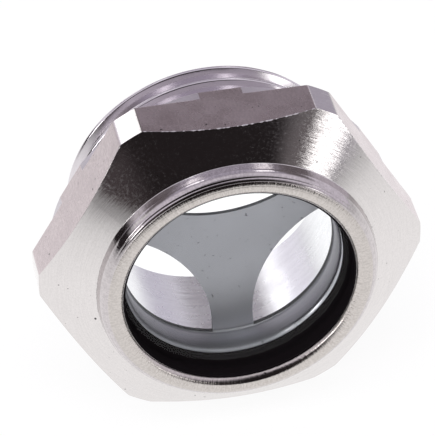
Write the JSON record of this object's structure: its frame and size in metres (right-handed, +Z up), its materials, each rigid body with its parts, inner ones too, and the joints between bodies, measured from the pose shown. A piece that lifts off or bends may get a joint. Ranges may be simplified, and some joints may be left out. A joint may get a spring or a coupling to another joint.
{
  "type": "oil sight glass",
  "caption": "Hexagon oil sight glass with a threaded spigot, a rolled lip round a glass window, a rubber seal and a pressed reflector cup with lens-shaped windows.",
  "frame": {"origin": "on the thread axis, in the plane of the seat behind the hexagon", "axes": "+Z up with a flat of the hexagon underneath, +Y along the thread axis out of the spigot, window towards -Y"},
  "size_m": [0.0446, 0.0215, 0.04],
  "materials": {
    "nickel_plated_brass": "nickel plated, turned, with drawn flats",
    "nitrile_rubber": "moulded, satin",
    "window_glass": "clear, polished",
    "reflector_sheet": "pressed sheet, smooth satin"
  },
  "bodies": {
    "root": {"body": "nickel_plated_brass", "seal": "nitrile_rubber", "glass": "window_glass", "reflector": "reflector_sheet"}
  },
  "joints": []
}
